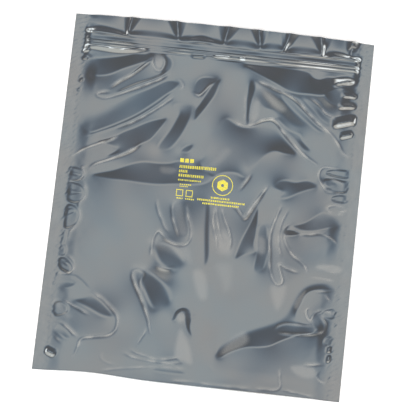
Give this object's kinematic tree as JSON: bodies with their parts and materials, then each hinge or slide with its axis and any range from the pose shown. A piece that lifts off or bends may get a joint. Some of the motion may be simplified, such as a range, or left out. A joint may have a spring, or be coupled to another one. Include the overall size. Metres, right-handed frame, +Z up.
{
  "type": "anti static shielding bag",
  "caption": "Flat, empty press-to-close bag of metallised shielding film, folded at the bottom and welded down both sides, with a lip above its zip.",
  "frame": {"origin": "middle of the bag's box on the surface that it lies on", "axes": "+X across the bag, +Y from the bottom fold to the mouth, +Z up from the surface"},
  "size_m": [0.273, 0.3374, 0.007],
  "materials": {
    "shielding_film": "glossy metallised film, silver grey",
    "zip_tape": "smooth natural polyethylene, milky",
    "yellow_print": "flat yellow ink on the film"
  },
  "bodies": {
    "root": {"film_pouch": "shielding_film", "zip_rib_track": "zip_tape", "zip_groove_track": "zip_tape"}
  },
  "joints": []
}
